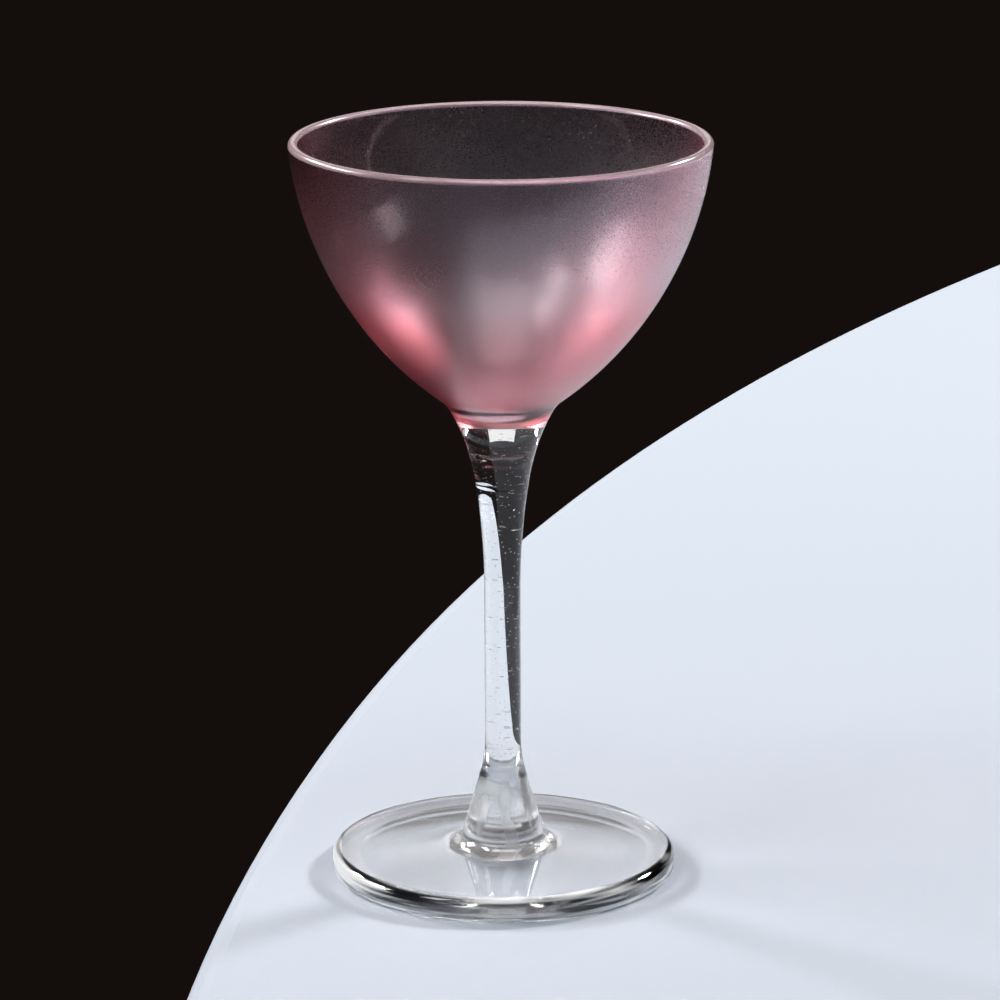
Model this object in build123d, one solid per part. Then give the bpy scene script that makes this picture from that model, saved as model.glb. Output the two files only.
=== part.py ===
from build123d import *
from math import acos, atan2, cos, degrees, hypot, radians, sin, sqrt, tan
import os

# Martini glass in three glass pieces: a blown bowl, a drawn solid stem and a pressed foot,
# fused end to end at two flame welds. Millimetres, +Z up, origin on the glass's axis in
# the plane it stands on. Every piece is a body of revolution about Z.

# Heights, each piece from its own lower end
foot_height = 21.7          # standing plane to the lower weld
stem_length = 66.3          # lower weld to the upper weld
bowl_height = 77.0          # upper weld to the top of the lip

# Bowl
rim_diameter = 91.6         # widest point, across the rounded lip
wall_thickness = 2.1        # even from the lip to the turn at the base
wall_curve_radius = 79.3    # arc along the middle of the wall
bowl_base_diameter = 26.0   # middle of the wall where it turns in to the neck
bowl_base_height = 20.6     # height of that turn above the upper weld
cavity_floor_radius = 21.0  # spherical bottom of the hollow
base_fillet_radius = 8.0    # hollow curve outside, between the wall and the neck
neck_lean = 30.6            # degrees from vertical where that curve runs out

# Stem
stem_diameter = 8.0         # drawn waist
head_flare = 1.72           # spread of the head beyond the waist, at the upper weld
head_flare_radius = 157.7   # long curve of the head
toe_flare = 1.25            # spread of the toe beyond the waist, at the lower weld
toe_flare_radius = 30.5     # short curve of the toe

# Foot
foot_diameter = 76.2
foot_edge_height = 5.3      # height of the edge, before it is rounded
foot_root_height = 5.8      # height of the disc where the boss stands on it
root_fillet_radius = 4.5    # hollow curve between the boss and the disc
edge_top_radius = 2.2       # rounding of the edge, above
edge_bottom_radius = 1.4    # and below
standing_ring_width = 4.2   # flat ring that the glass rests on
underside_rise = 1.6        # shallow dome under the foot, at its centre

stem_radius = stem_diameter / 2
head_radius = stem_radius + head_flare
toe_radius = stem_radius + toe_flare


def polar(centre, radius, angle):
    """Point at an angle in degrees, counted from the outward direction, on a circle."""
    return (centre[0] + radius * cos(radians(angle)), centre[1] + radius * sin(radians(angle)))


def flare_lean(flare, flare_radius):
    """Degrees from vertical at the wide end of an arc that starts upright."""
    return degrees(acos(1 - flare / flare_radius))


def circle_centre(upper, lower, radius):
    """Centre, on the side of the axis, of the circle through two points."""
    across, down = upper[0] - lower[0], upper[1] - lower[1]
    chord = hypot(across, down)
    reach = sqrt(radius**2 - (chord / 2) ** 2)
    middle = ((upper[0] + lower[0]) / 2, (upper[1] + lower[1]) / 2)
    return (middle[0] - reach * down / chord, middle[1] + reach * across / chord)


def angle_from(centre, point):
    """Angle in degrees at which a point lies from a centre."""
    return degrees(atan2(point[1] - centre[1], point[0] - centre[0]))


def tangent_corner(lower, lower_lean, upper, upper_lean):
    """Point where the two end tangents of the neck's curve meet."""
    low, high = radians(lower_lean), radians(upper_lean)
    across, up = upper[0] - lower[0], upper[1] - lower[1]
    reach = (across * cos(high) - up * sin(high)) / sin(low - high)
    return (lower[0] + reach * sin(low), lower[1] + reach * cos(low))


def turned(outline, height):
    """Solid of revolution about Z from a closed outline of (radius, height)."""
    section = make_face(Plane.XZ * (Curve() + outline))
    return Pos(0, 0, height) * revolve(section, Axis.Z)


def bowl():
    """Hollow bowl with a rounded lip, on a short solid neck that ends at the upper weld."""
    half_wall = wall_thickness / 2
    lip = (rim_diameter / 2 - half_wall, bowl_height - half_wall)
    base = (bowl_base_diameter / 2, bowl_base_height)
    wall_centre = circle_centre(lip, base, wall_curve_radius)
    outer_radius = wall_curve_radius + half_wall
    inner_radius = wall_curve_radius - half_wall
    lip_angle = angle_from(wall_centre, lip)
    base_angle = angle_from(wall_centre, base)

    # the spherical floor touches the inside of the wall from within, centred on the axis
    floor_reach = inner_radius - cavity_floor_radius
    floor_centre = (0, wall_centre[1] - sqrt(floor_reach**2 - wall_centre[0] ** 2))
    floor_angle = angle_from(wall_centre, floor_centre)

    # the fillet touches the outside of the wall, then the neck's curve leads to the weld
    fillet_centre = polar(wall_centre, outer_radius + base_fillet_radius, base_angle)
    neck_top = polar(fillet_centre, base_fillet_radius, 180 - neck_lean)
    head_lean = flare_lean(head_flare, head_flare_radius)
    weld = (head_radius, 0)
    neck_corner = tangent_corner(weld, head_lean, neck_top, neck_lean)

    outline = [
        Line((0, 0), weld),
        Bezier(weld, neck_corner, neck_top),
        CenterArc(fillet_centre, base_fillet_radius, 180 - neck_lean, base_angle + neck_lean),
        CenterArc(wall_centre, outer_radius, base_angle, lip_angle - base_angle),
        CenterArc(lip, half_wall, lip_angle, 180),
        CenterArc(wall_centre, inner_radius, lip_angle, floor_angle - lip_angle),
        CenterArc(floor_centre, cavity_floor_radius, floor_angle, -90 - floor_angle),
        Line((0, floor_centre[1] - cavity_floor_radius), (0, 0)),
    ]
    return turned(outline, foot_height + stem_length)


def stem():
    """Solid rod with a drawn waist, spreading at both ends to its welds."""
    toe_lean = flare_lean(toe_flare, toe_flare_radius)
    head_lean = flare_lean(head_flare, head_flare_radius)
    waist_bottom = toe_flare_radius * sin(radians(toe_lean))
    waist_top = stem_length - head_flare_radius * sin(radians(head_lean))
    toe_centre = (stem_radius + toe_flare_radius, waist_bottom)
    head_centre = (stem_radius + head_flare_radius, waist_top)
    outline = [
        Line((0, 0), (toe_radius, 0)),
        CenterArc(toe_centre, toe_flare_radius, 180 + toe_lean, -toe_lean),
        Line((stem_radius, waist_bottom), (stem_radius, waist_top)),
        CenterArc(head_centre, head_flare_radius, 180, -head_lean),
        Line((head_radius, stem_length), (0, stem_length)),
        Line((0, stem_length), (0, 0)),
    ]
    return turned(outline, foot_height)


def foot():
    """Disc with a rounded edge and a conical boss, slightly domed underneath."""
    foot_radius = foot_diameter / 2
    boss_lean = flare_lean(toe_flare, toe_flare_radius)
    root_radius = toe_radius + (foot_height - foot_root_height) * tan(radians(boss_lean))
    top_round = min(edge_top_radius, foot_edge_height / 2)
    bottom_round = min(edge_bottom_radius, foot_edge_height / 3)
    ring_inner_radius = foot_radius - bottom_round - standing_ring_width
    ring_inner = (ring_inner_radius, 0)
    upper_side = FilletPolyline(
        (toe_radius, foot_height),
        (root_radius, foot_root_height),
        (foot_radius, foot_edge_height),
        (foot_radius, 0),
        ring_inner,
        radius=[root_fillet_radius, top_round, bottom_round],
    )
    dome_radius = (ring_inner_radius**2 + underside_rise**2) / (2 * underside_rise)
    dome_centre = (0, underside_rise - dome_radius)
    dome_start = angle_from(dome_centre, ring_inner)
    outline = [
        upper_side,
        CenterArc(dome_centre, dome_radius, dome_start, 90 - dome_start),
        Line((0, underside_rise), (0, foot_height)),
        Line((0, foot_height), (toe_radius, foot_height)),
    ]
    return turned(outline, 0)


os.makedirs("parts", exist_ok=True)
for piece in (bowl, stem, foot):
    export_step(piece(), f"parts/{piece.__name__}.step")
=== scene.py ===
from math import acos, atan2, cos, degrees, hypot, radians, sin, sqrt, tan

import bmesh
import bpy
from mathutils import Euler, Matrix, Vector


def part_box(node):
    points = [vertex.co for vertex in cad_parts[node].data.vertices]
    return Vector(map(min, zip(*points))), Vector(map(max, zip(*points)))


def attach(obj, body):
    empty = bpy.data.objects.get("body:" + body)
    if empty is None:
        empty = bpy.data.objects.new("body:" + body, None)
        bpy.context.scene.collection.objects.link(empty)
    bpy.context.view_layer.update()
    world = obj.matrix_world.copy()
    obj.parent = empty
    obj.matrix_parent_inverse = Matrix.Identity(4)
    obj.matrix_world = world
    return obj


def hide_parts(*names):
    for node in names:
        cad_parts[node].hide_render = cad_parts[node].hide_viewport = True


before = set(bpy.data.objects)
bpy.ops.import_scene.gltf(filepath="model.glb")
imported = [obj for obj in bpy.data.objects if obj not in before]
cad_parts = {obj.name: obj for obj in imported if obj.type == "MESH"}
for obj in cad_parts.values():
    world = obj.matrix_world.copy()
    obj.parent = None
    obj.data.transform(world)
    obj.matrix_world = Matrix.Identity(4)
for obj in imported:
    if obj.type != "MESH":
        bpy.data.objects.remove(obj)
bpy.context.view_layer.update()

# Martini glass: a blown bowl, frosted rose outside and polished inside, a drawn solid stem
# and a pressed foot, fused end to end at two welds. Each piece is turned about Z here, finer
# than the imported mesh, so that light bends cleanly through it. Outlines are in millimetres,
# as (distance from the axis, height above the plane the glass stands on). Objects and lamps
# are in metres, angles in degrees.

MM = 0.001
bowl_low, bowl_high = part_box("bowl")
stem_low, stem_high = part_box("stem")
_, foot_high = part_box("foot")

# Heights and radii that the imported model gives
lip_top = bowl_high.z / MM
upper_weld = bowl_low.z / MM
lower_weld = stem_low.z / MM
rim_radius = bowl_high.x / MM
head_radius = stem_high.x / MM
foot_radius = foot_high.x / MM

# Bowl
wall_thickness = 2.1
wall_curve_radius = 79.3    # arc along the middle of the wall
base_radius = 13.0          # middle of the wall where it turns in to the neck
base_height = 20.6          # height of that turn above the upper weld
cavity_floor_radius = 21.0
base_fillet_radius = 8.0
neck_lean = 30.6            # lean from vertical where the fillet runs out
frost_start = 103.5         # height where the neck's clear glass ends
frost_end = 164.3           # height where the polished lip begins

# Stem
stem_radius = 4.0
head_flare_radius = 157.7
toe_flare = 1.25
toe_flare_radius = 30.5
weld_bead = 0.07            # how far the fused seam stands proud
weld_bead_reach = 0.5       # how far above and below the weld it goes

# Foot
foot_edge_height = 5.3
foot_root_height = 5.8
root_fillet_radius = 4.5
edge_top_radius = 2.2
edge_bottom_radius = 1.4
standing_ring_width = 4.2
underside_rise = 1.6

# Fineness of the meshes
AROUND = 288                # faces in each turn
STEP = 0.9                  # usual length of a face along the outline
FILLET_STEP = 0.5           # the same along the curve from the bowl into the neck
NECK_STEP = 0.45            # down the neck
EDGE_STEP = 0.25            # round the foot's edge and the boss's root
LIP_STEP = 0.15             # and over the lip
FEWEST_ON_CURVE = 6
FEWEST_ON_STRAIGHT = 2
ON_AXIS = 1e-6              # a point nearer to the axis than this closes the turn
SHARP_ANGLE = 40            # edges that turn more than this aren't shaded smooth


# Outlines

def polar(centre, radius, angle):
    """The point at that distance and angle from a centre."""
    return (centre[0] + radius * cos(radians(angle)), centre[1] + radius * sin(radians(angle)))


def angle_from(centre, point):
    """The angle at which a point lies from a centre."""
    return degrees(atan2(point[1] - centre[1], point[0] - centre[0]))


def length(start, end):
    return hypot(end[0] - start[0], end[1] - start[1])


def arc(centre, radius, start, sweep, step=STEP):
    """Points along an arc, the first and the last included."""
    count = max(FEWEST_ON_CURVE, round(radius * abs(radians(sweep)) / step))
    return [polar(centre, radius, start + sweep * i / count) for i in range(count + 1)]


def straight(start, end):
    """Points along a line, both ends included."""
    count = max(FEWEST_ON_STRAIGHT, round(length(start, end) / STEP))
    return [tuple(a + (b - a) * i / count for a, b in zip(start, end)) for i in range(count + 1)]


def bezier(start, corner, end):
    """Points along the curve that leaves start and meets end in line with the corner."""
    count = max(FEWEST_ON_CURVE, round(length(start, end) / NECK_STEP))
    points = []
    for i in range(count + 1):
        t = i / count
        points.append(tuple((1 - t) ** 2 * a + 2 * t * (1 - t) * b + t ** 2 * c
                            for a, b, c in zip(start, corner, end)))
    return points


def rounded(before, corner, after, radius):
    """The arc that rounds a corner between two straight runs, from one to the other."""
    corner = Vector(corner)
    back, ahead = Vector(before) - corner, Vector(after) - corner
    half = back.angle(ahead) / 2
    back, ahead = back.normalized(), ahead.normalized()
    centre = corner + (back + ahead).normalized() * radius / sin(half)
    first = angle_from(centre, corner + back * radius / tan(half))
    last = angle_from(centre, corner + ahead * radius / tan(half))
    sweep = (last - first + 180) % 360 - 180
    return arc(centre, radius, first, sweep, EDGE_STEP)


def circle_centre(upper, lower, radius):
    """Centre of the arc of that radius through two points, on the side of the axis."""
    across, down = upper[0] - lower[0], upper[1] - lower[1]
    chord = hypot(across, down)
    reach = sqrt(radius ** 2 - (chord / 2) ** 2)
    return ((upper[0] + lower[0]) / 2 - reach * down / chord,
            (upper[1] + lower[1]) / 2 + reach * across / chord)


def tangent_corner(lower, lower_lean, upper, upper_lean):
    """Where two lines meet, each through its point and leaning outward by that angle."""
    low, high = radians(lower_lean), radians(upper_lean)
    across, up = upper[0] - lower[0], upper[1] - lower[1]
    reach = (across * cos(high) - up * sin(high)) / sin(low - high)
    return (lower[0] + reach * sin(low), lower[1] + reach * cos(low))


def flare_lean(flare, flare_radius):
    """Lean from vertical of an arc that left the stem's side upright and has spread that far."""
    return degrees(acos(1 - flare / flare_radius))


def split(points, height):
    """Cuts a rising outline in two at a height."""
    for i in range(1, len(points)):
        if points[i][1] > height:
            (r0, z0), (r1, z1) = points[i - 1], points[i]
            cut = (r0 + (r1 - r0) * (height - z0) / (z1 - z0), height)
            return points[:i] + [cut], [cut] + points[i:]
    return points, []


def with_seams(spans):
    """Lets the outline swell a little at the welds, as fused glass does."""
    for _, points in spans:
        for i, (r, z) in enumerate(points):
            for weld in (upper_weld, lower_weld):
                reach = abs(z - weld) / weld_bead_reach
                if reach < 1:
                    points[i] = (r + weld_bead * (1 - reach ** 2) ** 2, z)
    return spans


def bowl_outline():
    """The neck, the outer wall, the lip and the hollow, each with its finish."""
    half_wall = wall_thickness / 2
    lip = (rim_radius - half_wall, lip_top - half_wall)
    base = (base_radius, upper_weld + base_height)
    wall_centre = circle_centre(lip, base, wall_curve_radius)
    outer_radius = wall_curve_radius + half_wall
    inner_radius = wall_curve_radius - half_wall
    lip_angle, base_angle = angle_from(wall_centre, lip), angle_from(wall_centre, base)

    # the spherical floor touches the inside of the wall, centred on the axis
    floor_reach = inner_radius - cavity_floor_radius
    floor_centre = (0, wall_centre[1] - sqrt(floor_reach ** 2 - wall_centre[0] ** 2))
    floor_angle = angle_from(wall_centre, floor_centre)

    # the fillet touches the outside of the wall, then the neck's curve leads to the weld
    fillet_centre = polar(wall_centre, outer_radius + base_fillet_radius, base_angle)
    fillet_start = 180 - neck_lean
    neck_top = polar(fillet_centre, base_fillet_radius, fillet_start)
    weld = (head_radius, upper_weld)
    head_lean = flare_lean(head_radius - stem_radius, head_flare_radius)
    neck_corner = tangent_corner(weld, head_lean, neck_top, neck_lean)

    neck = bezier(weld, neck_corner, neck_top)
    neck += arc(fillet_centre, base_fillet_radius, fillet_start, base_angle + neck_lean,
                FILLET_STEP)[1:]
    neck, frosted = split(neck, frost_start)
    wall = arc(wall_centre, outer_radius, base_angle, lip_angle - base_angle)
    wall, lip_band = split(wall, frost_end)
    lip_band += arc(lip, half_wall, lip_angle, 180, LIP_STEP)[1:]
    hollow = arc(wall_centre, inner_radius, lip_angle, floor_angle - lip_angle)
    hollow += arc(floor_centre, cavity_floor_radius, floor_angle, -90 - floor_angle)[1:]
    return [("clear_neck", neck), ("frosted_rose", frosted + wall[1:]),
            ("polished_lip", lip_band), ("polished_rose", hollow)]


def stem_outline():
    """The toe, the waist and the head, from the lower weld to the upper one."""
    toe_lean = flare_lean(toe_flare, toe_flare_radius)
    toe_centre = (stem_radius + toe_flare_radius,
                  lower_weld + toe_flare_radius * sin(radians(toe_lean)))
    head_lean = flare_lean(head_radius - stem_radius, head_flare_radius)
    head_centre = (stem_radius + head_flare_radius,
                   upper_weld - head_flare_radius * sin(radians(head_lean)))
    toe = arc(toe_centre, toe_flare_radius, 180 + toe_lean, -toe_lean)
    waist = straight((stem_radius, toe_centre[1]), (stem_radius, head_centre[1]))
    head = arc(head_centre, head_flare_radius, 180, -head_lean)
    return [("stem_glass", toe + waist[1:] + head[1:])]


def foot_outline():
    """The dome and the standing ring underneath, the rounded edge, the disc and the boss."""
    ring_inner = (foot_radius - edge_bottom_radius - standing_ring_width, 0)
    dome_radius = (ring_inner[0] ** 2 + underside_rise ** 2) / (2 * underside_rise)
    dome_centre = (0, underside_rise - dome_radius)
    dome = arc(dome_centre, dome_radius, 90, angle_from(dome_centre, ring_inner) - 90)

    boss_top = (stem_radius + toe_flare, lower_weld)
    boss_lean = radians(flare_lean(toe_flare, toe_flare_radius))
    root_radius = boss_top[0] + (lower_weld - foot_root_height) * tan(boss_lean)
    root = (root_radius, foot_root_height)
    shoulder, corner = (foot_radius, foot_edge_height), (foot_radius, 0)
    bottom = rounded(ring_inner, corner, shoulder, edge_bottom_radius)
    top = rounded(corner, shoulder, root, edge_top_radius)
    turn = rounded(shoulder, root, boss_top, root_fillet_radius)

    under = dome + straight(dome[-1], bottom[0])[1:]
    edge = bottom + straight(bottom[-1], top[0])[1:] + top[1:]
    disc = straight(top[-1], turn[0])
    boss = turn + straight(turn[-1], boss_top)[1:]
    return [("foot_under", under), ("foot_edge", edge), ("foot_disc", disc), ("foot_boss", boss)]


# Shader nodes

CLEAR_IOR = 1.5
BOWL_IOR = 1.6              # rose crystal


def new_material(name, ior=CLEAR_IOR):
    material = bpy.data.materials.new(name)
    material.use_nodes = True
    shader = material.node_tree.nodes["Principled BSDF"]
    shader.inputs["IOR"].default_value = ior
    return material, material.node_tree, shader


def own_place(tree):
    """Where a point lies on its object, in metres."""
    return tree.nodes.new("ShaderNodeTexCoord").outputs["Object"]


def noise(tree, scale, detail=1.0, stretch=None):
    """Noise with scale features to the metre. stretch multiplies that along each axis."""
    place = own_place(tree)
    if stretch:
        squeeze = tree.nodes.new("ShaderNodeVectorMath")
        squeeze.operation = "MULTIPLY"
        squeeze.inputs[1].default_value = stretch
        tree.links.new(place, squeeze.inputs[0])
        place = squeeze.outputs[0]
    texture = tree.nodes.new("ShaderNodeTexNoise")
    texture.inputs["Scale"].default_value = scale
    texture.inputs["Detail"].default_value = detail
    tree.links.new(place, texture.inputs["Vector"])
    return texture.outputs["Fac"]


def combine(tree, operation, first, second, third=None):
    """Arithmetic on two or three values, each a socket or a number."""
    node = tree.nodes.new("ShaderNodeMath")
    node.operation = operation
    for place, value in enumerate((first, second, third)):
        if isinstance(value, bpy.types.NodeSocket):
            tree.links.new(value, node.inputs[place])
        elif value is not None:
            node.inputs[place].default_value = value
    return node.outputs[0]


def fade(tree, value, start, end):
    """Goes from 0 where the value is start to 1 where it is end."""
    share = tree.nodes.new("ShaderNodeMapRange")
    share.inputs["From Min"].default_value = start
    share.inputs["From Max"].default_value = end
    tree.links.new(value, share.inputs["Value"])
    return share.outputs["Result"]


def span(tree, share, low, high):
    """Goes from low where the share is 0 to high where it is 1."""
    node = tree.nodes.new("ShaderNodeMapRange")
    node.inputs["To Min"].default_value = low
    node.inputs["To Max"].default_value = high
    tree.links.new(share, node.inputs["Value"])
    return node.outputs["Result"]


def ramp(tree, share, stops):
    """A colour that runs through (share, colour) stops."""
    node = tree.nodes.new("ShaderNodeValToRGB")
    elements = node.color_ramp.elements
    while len(elements) < len(stops):
        elements.new(0.5)
    for element, (place, colour) in zip(elements, stops):
        element.position = place
        element.color = (*colour, 1)
    tree.links.new(share, node.inputs["Fac"])
    return node.outputs["Color"]


def grey_ramp(tree, share, stops):
    """A value that runs through (share, value) stops."""
    return ramp(tree, share, [(place, (value, value, value)) for place, value in stops])


def beads(tree, scale, size):
    """Small round beads, scale to the metre. size is their radius as a share of their spacing."""
    cells = tree.nodes.new("ShaderNodeTexVoronoi")
    cells.inputs["Scale"].default_value = scale
    tree.links.new(own_place(tree), cells.inputs["Vector"])
    return fade(tree, cells.outputs["Distance"], size, 0.0)


def bowl_share(tree):
    """Height on the bowl: 0 where the frosting starts, 1 at the top of the lip."""
    parts = tree.nodes.new("ShaderNodeSeparateXYZ")
    tree.links.new(own_place(tree), parts.inputs[0])
    return fade(tree, parts.outputs["Z"], frost_start * MM, lip_top * MM)


def deepen(tree, colour, by, amount):
    """Multiplies a colour towards the glass's edges, where light has further to go through it."""
    facing = tree.nodes.new("ShaderNodeLayerWeight")
    facing.inputs["Blend"].default_value = 0.5
    mix = tree.nodes.new("ShaderNodeMix")
    mix.data_type, mix.blend_type = "RGBA", "MULTIPLY"
    mix.inputs["B"].default_value = (*by, 1)
    share = combine(tree, "MULTIPLY", facing.outputs["Facing"], amount)
    tree.links.new(share, mix.inputs["Factor"])
    tree.links.new(colour, mix.inputs["A"])
    return mix.outputs["Result"]


def bump(tree, shader, value, height):
    """Bumps of that height in millimetres."""
    node = tree.nodes.new("ShaderNodeBump")
    node.inputs["Distance"].default_value = height * MM
    tree.links.new(value, node.inputs["Height"])
    tree.links.new(node.outputs["Normal"], shader.inputs["Normal"])


# Rose glass. The stops are (share of the bowl's height, colour or value).

OUTER_ROSE = ((0.0, (0.80, 0.22, 0.24)), (0.07, (0.92, 0.60, 0.65)), (0.16, (0.96, 0.92, 0.95)),
              (0.26, (0.97, 0.84, 0.88)), (0.38, (0.96, 0.80, 0.86)), (0.52, (0.95, 0.93, 0.99)),
              (1.0, (0.93, 0.84, 0.93)))
INNER_ROSE = ((0.12, (0.97, 0.60, 0.62)), (0.18, (0.98, 0.82, 0.86)), (0.26, (0.98, 0.60, 0.64)),
              (0.40, (0.98, 0.68, 0.74)), (0.50, (0.98, 0.84, 0.91)), (0.62, (0.97, 0.90, 0.97)),
              (1.0, (0.95, 0.80, 0.90)))
LIP_ROSE = (0.96, 0.68, 0.74, 1)
OUTER_EDGE_TINT = (0.95, 0.04, 0.08)
INNER_EDGE_TINT = (0.95, 0.03, 0.05)
EDGE_DEPTH = ((0.0, 1.0), (0.40, 1.0), (0.58, 0.6), (0.78, 0.9), (1.0, 1.0))
FROSTED_CLARITY = ((0.0, 0.95), (0.22, 0.93), (0.38, 0.93), (0.65, 0.98), (1.0, 1.0))
FROST_COVER = ((0.0, 1.0), (0.55, 1.0), (0.78, 0.60), (1.0, 0.30))
FROST_GRAIN_SCALE = 3600
FROST_GRAIN_LEVELS = (0.75, 0.32)       # noise levels between which a grain sets in
FROST_THRESHOLD = (0.90, 1.10)          # sums of cover and grain between which glass is etched
CLEAR_ROUGHNESS = 0.20                  # between the etched grains
ETCHED_ROUGHNESS = 0.28
HOLLOW_WAVE_SCALE = 120
HOLLOW_WAVE_HEIGHT = 0.02
HOLLOW_HAZE = 0.03
DROPLET_SCALE = 420
DROPLET_SIZE = 0.13
DROPLET_HEIGHT = 4.0                    # in wave heights
DROPLET_CLARITY = 0.5
DROPLETS_START, DROPLETS_FULL = 0.60, 0.80
LIP_CLARITY = 0.65
LIP_WAVE_SCALE = 300
LIP_WAVE_HEIGHT = 0.01
LIP_ROUGHNESS = (0.10, 0.24)


def frosted_rose():
    """Etched rose glass, denser and deeper in colour towards the base."""
    material, tree, shader = new_material("frosted_rose", BOWL_IOR)
    height = bowl_share(tree)
    colour = ramp(tree, height, OUTER_ROSE)
    depth = grey_ramp(tree, height, EDGE_DEPTH)
    tree.links.new(deepen(tree, colour, OUTER_EDGE_TINT, depth), shader.inputs["Base Color"])
    clear = grey_ramp(tree, height, FROSTED_CLARITY)
    tree.links.new(clear, shader.inputs["Transmission Weight"])
    # the frosting thins out upwards into a fine grain of etched and clear spots
    cover = grey_ramp(tree, height, FROST_COVER)
    grain = fade(tree, noise(tree, FROST_GRAIN_SCALE, detail=2.0), *FROST_GRAIN_LEVELS)
    etched = fade(tree, combine(tree, "ADD", cover, grain), *FROST_THRESHOLD)
    roughness = span(tree, etched, CLEAR_ROUGHNESS, ETCHED_ROUGHNESS)
    tree.links.new(roughness, shader.inputs["Roughness"])
    return material


def polished_rose():
    """The hollow, smooth from the blowing, with a few droplets inside the rim."""
    material, tree, shader = new_material("polished_rose", BOWL_IOR)
    height = bowl_share(tree)
    colour = ramp(tree, height, INNER_ROSE)
    depth = grey_ramp(tree, height, EDGE_DEPTH)
    tree.links.new(deepen(tree, colour, INNER_EDGE_TINT, depth), shader.inputs["Base Color"])
    waves = noise(tree, HOLLOW_WAVE_SCALE)
    tree.links.new(span(tree, waves, 0.0, HOLLOW_HAZE), shader.inputs["Roughness"])
    droplets = combine(tree, "MULTIPLY", beads(tree, DROPLET_SCALE, DROPLET_SIZE),
                       fade(tree, height, DROPLETS_START, DROPLETS_FULL))
    clear = span(tree, droplets, 1.0, DROPLET_CLARITY)
    tree.links.new(clear, shader.inputs["Transmission Weight"])
    surface = combine(tree, "MULTIPLY_ADD", droplets, DROPLET_HEIGHT, waves)
    bump(tree, shader, surface, HOLLOW_WAVE_HEIGHT)
    return material


def polished_lip():
    """The fire-polished lip."""
    material, tree, shader = new_material("polished_lip", BOWL_IOR)
    shader.inputs["Transmission Weight"].default_value = LIP_CLARITY
    shader.inputs["Base Color"].default_value = LIP_ROSE
    waves = noise(tree, LIP_WAVE_SCALE)
    tree.links.new(span(tree, waves, *LIP_ROUGHNESS), shader.inputs["Roughness"])
    bump(tree, shader, waves, LIP_WAVE_HEIGHT)
    return material


# Clear glass

CLEAR_TINT = (0.985, 0.99, 0.99, 1)
SPECK_SCALE = 3200
SEED_SCALE = 1000
SEED_SIZE = 0.25
STRIPE_LEVELS = (0.42, 0.62)            # noise levels between which a stripe sets in


def seeds(tree, waves):
    """Fine bubbles."""
    return beads(tree, SEED_SCALE, SEED_SIZE)


def stripes(tree, waves):
    """Fine lines left round the edge by the mould."""
    return fade(tree, waves, *STRIPE_LEVELS)


def veil(tree, waves):
    """A slight milkiness, uneven with the waves."""
    return waves


def clear_glass(name, wave_scale, wave_height, haze=0.04, stretch=None, pattern=None, milk=0.0):
    """Clear glass with slight waves, which stretch draws out along an axis. haze is its greatest
    roughness, and milk the share of white where the pattern is full."""
    material, tree, shader = new_material(name)
    shader.inputs["Base Color"].default_value = CLEAR_TINT
    waves = noise(tree, wave_scale, stretch=stretch)
    specks = noise(tree, SPECK_SCALE, detail=2.0)
    tree.links.new(span(tree, specks, 0.0, haze), shader.inputs["Roughness"])
    if pattern:
        white = combine(tree, "MULTIPLY", pattern(tree, waves), milk)
        clear = combine(tree, "SUBTRACT", 1.0, white)
        tree.links.new(clear, shader.inputs["Transmission Weight"])
    else:
        shader.inputs["Transmission Weight"].default_value = 1.0
    bump(tree, shader, waves, wave_height)
    return material


ROSE_FINISHES = {
    "frosted_rose": frosted_rose,
    "polished_rose": polished_rose,
    "polished_lip": polished_lip,
}
CLEAR_FINISHES = {
    "clear_neck": dict(wave_scale=150, wave_height=0.02, pattern=seeds, milk=0.5),
    "stem_glass": dict(wave_scale=700, wave_height=0.02, stretch=(1, 1, 0.04), pattern=seeds,
                       milk=0.8),
    "foot_boss": dict(wave_scale=300, wave_height=0.02, stretch=(1, 1, 0.3), pattern=veil,
                      milk=0.45),
    "foot_disc": dict(wave_scale=60, wave_height=0.03),
    "foot_edge": dict(wave_scale=900, wave_height=0.05, haze=0.08, stretch=(0.05, 0.05, 1),
                      pattern=stripes, milk=0.7),
    "foot_under": dict(wave_scale=60, wave_height=0.03, haze=0.20),
}


def new_finish(name):
    if name in ROSE_FINISHES:
        return ROSE_FINISHES[name]()
    return clear_glass(name, **CLEAR_FINISHES[name])


# The glass

def turned(name, spans):
    """A piece turned about Z from spans of outline, each with its finish, that follow on."""
    mesh = bpy.data.meshes.new(name)
    build = bmesh.new()
    turns = [(cos(radians(360 * i / AROUND)), sin(radians(360 * i / AROUND)))
             for i in range(AROUND)]

    def ring(point):
        r, z = point[0] * MM, point[1] * MM
        if point[0] < ON_AXIS:
            return [build.verts.new((0, 0, z))]
        return [build.verts.new((r * c, r * s, z)) for c, s in turns]

    last = ring(spans[0][1][0])
    for place, (_, points) in enumerate(spans):
        for point in points[1:]:
            this = ring(point)
            for i in range(AROUND):
                j = (i + 1) % AROUND
                if len(last) == 1:
                    corners = (last[0], this[j], this[i])
                elif len(this) == 1:
                    corners = (last[i], last[j], this[0])
                else:
                    corners = (last[i], last[j], this[j], this[i])
                face = build.faces.new(corners)
                face.material_index = place
                face.smooth = True
            last = this
    build.to_mesh(mesh)
    build.free()
    for finish, _ in spans:
        mesh.materials.append(new_finish(finish))
    mesh.set_sharp_from_angle(angle=radians(SHARP_ANGLE))
    piece = bpy.data.objects.new(name, mesh)
    bpy.context.collection.objects.link(piece)
    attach(piece, "root")
    return piece


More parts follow.
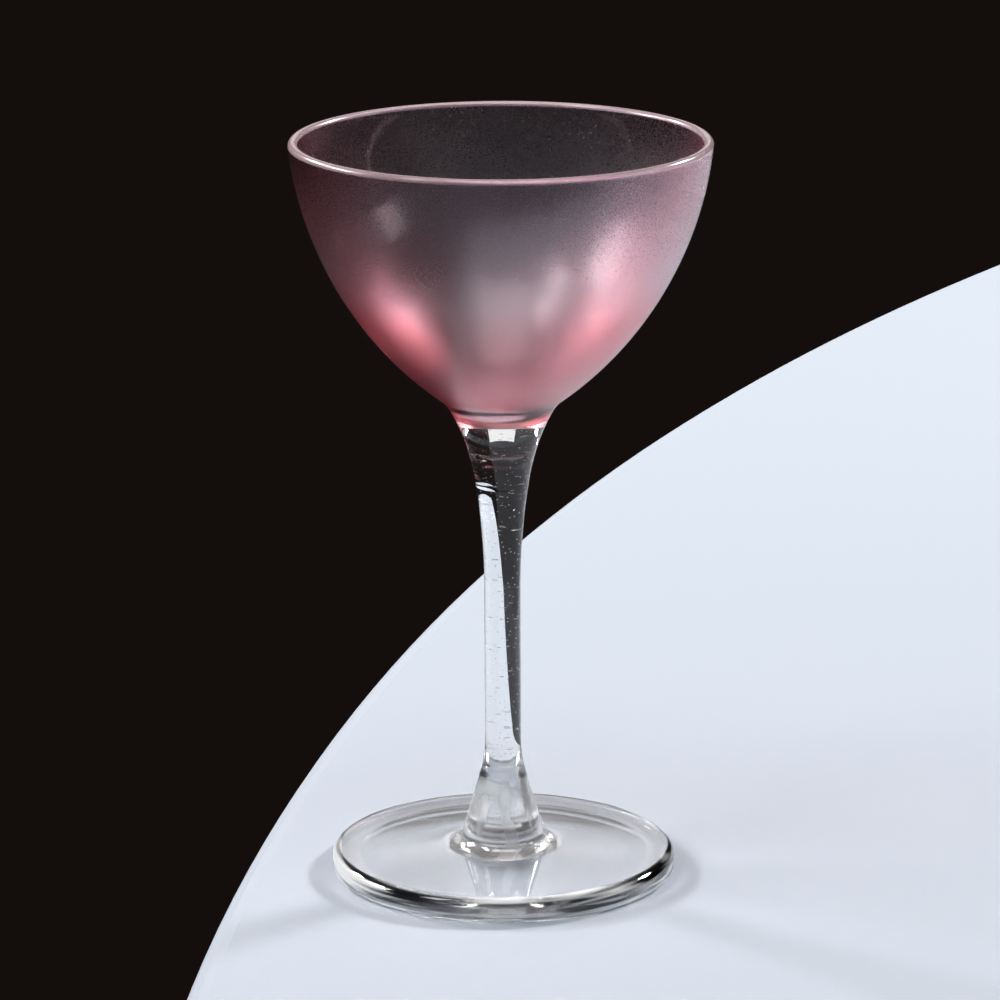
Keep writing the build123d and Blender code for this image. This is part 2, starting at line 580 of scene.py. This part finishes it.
bowl = turned("bowl_glass", with_seams(bowl_outline()))
stem = turned("stem_rod", with_seams(stem_outline()))
foot = turned("foot_disc", with_seams(foot_outline()))
for piece, node, finish in ((bowl, "bowl", "frosted_rose_glass"), (stem, "stem", "clear_glass"),
                            (foot, "foot", "clear_glass")):
    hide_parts(node)


# Stage, in metres: a pale table top with a long curved edge, before a dark room

TABLE_RADIUS = 1.554
TABLE_CENTRE = (1.482, -0.2)
TABLE_THICKNESS = 0.03
TABLE_FRONT = -0.25         # where the table ends before the glass
TABLE_GAP = 0.00005         # keeps the foot's ring and the table top from sharing a plane
TABLE_SEGMENTS = 512
TABLE_EDGE_WIDTH = 0.006
TABLE_EDGE_SEGMENTS = 4
TABLE_COLOUR = (0.43, 0.465, 0.52, 1)
TABLE_ROUGHNESS = 0.6
TABLE_SPECULAR = 0.1

ROOM_DARK = (0.007, 0.0048, 0.0042)
ROOM_HAZE = (0.08, 0.08, 0.09)          # low behind the camera
ROOM_HAZE_SIDE = (0.35, -0.35)          # Y between which it sets in
ROOM_HAZE_TOP = (0.55, 0.15)            # and Z

# Lamps: azimuth (0 is before the glass, 90 on its right), elevation, distance, size and watts
LAMPS = {
    "top": (0, 74, 1.8, (1.1, 0.9), 11),
    "left_window": (-103, 30, 1.8, (0.7, 0.5), 22),
    "left_top": (-65, 55, 1.8, (0.4, 0.6), 8),
    "right_window": (86, 25, 1.8, (0.3, 0.25), 1.6),
    "right_back": (128, 30, 1.8, (0.32, 0.25), 34),
    "left_back": (-132, 27, 1.8, (0.3, 0.25), 19),
    "back_wall": (180, 15, 1.9, (0.8, 0.36), 0.8),
}
LAMP_TARGET = Vector((0, 0, 0.12))

CAMERA_PLACE = (-0.00046, -1.05, 0.3657)
CAMERA_DIP = 14.985         # how far it looks down
CAMERA_ROLL = -0.217
CAMERA_LENS = 178.66        # on a sensor 36 mm wide
CAMERA_SENSOR = 36
CAMERA_NEAR, CAMERA_FAR = 0.05, 20

GLASS_BOUNCES = 24


def table_top():
    material, _, shader = new_material("pale_table")
    shader.inputs["Base Color"].default_value = TABLE_COLOUR
    shader.inputs["Roughness"].default_value = TABLE_ROUGHNESS
    shader.inputs["Specular IOR Level"].default_value = TABLE_SPECULAR
    build = bmesh.new()
    bmesh.ops.create_cone(build, cap_ends=True, segments=TABLE_SEGMENTS, radius1=TABLE_RADIUS,
                          radius2=TABLE_RADIUS, depth=TABLE_THICKNESS)
    everything = build.verts[:] + build.edges[:] + build.faces[:]
    cut = bmesh.ops.bisect_plane(build, geom=everything, plane_no=(0, -1, 0), clear_outer=True,
                                 plane_co=(0, TABLE_FRONT - TABLE_CENTRE[1], 0))
    rim = [edge for edge in cut["geom_cut"] if isinstance(edge, bmesh.types.BMEdge)]
    bmesh.ops.contextual_create(build, geom=rim)
    mesh = bpy.data.meshes.new("table_top")
    build.to_mesh(mesh)
    build.free()
    mesh.materials.append(material)
    top = bpy.data.objects.new("table_top", mesh)
    top.location = (*TABLE_CENTRE, -TABLE_THICKNESS / 2 - TABLE_GAP)
    bevel = top.modifiers.new("edge", "BEVEL")
    bevel.limit_method = "ANGLE"
    bevel.width, bevel.segments = TABLE_EDGE_WIDTH, TABLE_EDGE_SEGMENTS
    bpy.context.collection.objects.link(top)


def room():
    world = bpy.data.worlds.new("room")
    world.use_nodes = True
    tree = world.node_tree
    direction = tree.nodes.new("ShaderNodeTexCoord").outputs["Generated"]
    parts = tree.nodes.new("ShaderNodeSeparateXYZ")
    tree.links.new(direction, parts.inputs[0])
    haze = combine(tree, "MULTIPLY", fade(tree, parts.outputs["Y"], *ROOM_HAZE_SIDE),
                   fade(tree, parts.outputs["Z"], *ROOM_HAZE_TOP))
    light = ramp(tree, haze, ((0.0, ROOM_DARK), (1.0, ROOM_HAZE)))
    tree.links.new(light, tree.nodes["Background"].inputs["Color"])
    bpy.context.scene.world = world


def camera():
    data = bpy.data.cameras.new("camera")
    data.sensor_width = CAMERA_SENSOR
    data.lens = CAMERA_LENS
    data.clip_start, data.clip_end = CAMERA_NEAR, CAMERA_FAR
    eye = bpy.data.objects.new("camera", data)
    tilt = Euler((radians(90 - CAMERA_DIP), 0, 0)).to_matrix().to_4x4()
    roll = Matrix.Rotation(radians(CAMERA_ROLL), 4, "Z")
    eye.matrix_world = Matrix.Translation(CAMERA_PLACE) @ tilt @ roll
    bpy.context.collection.objects.link(eye)
    bpy.context.scene.camera = eye


def softbox(name, azimuth, elevation, distance, size, power):
    """An oblong lamp that faces the glass."""
    lamp = bpy.data.lights.new(name, "AREA")
    lamp.shape = "RECTANGLE"
    lamp.size, lamp.size_y = size
    lamp.energy = power
    holder = bpy.data.objects.new(name, lamp)
    a, e = radians(azimuth), radians(elevation)
    away = Vector((sin(a) * cos(e), -cos(a) * cos(e), sin(e)))
    holder.location = LAMP_TARGET + away * distance
    holder.rotation_euler = away.to_track_quat("Z", "Y").to_euler()
    bpy.context.collection.objects.link(holder)


table_top()
room()
camera()
for name, lamp in LAMPS.items():
    softbox(name, *lamp)

scene = bpy.context.scene
scene.view_settings.view_transform = "Standard"
scene.cycles.max_bounces = GLASS_BOUNCES
scene.cycles.transmission_bounces = GLASS_BOUNCES
scene.cycles.blur_glossy = 0
scene.cycles.sample_clamp_indirect = 0  # the lamps keep their full strength through the glass
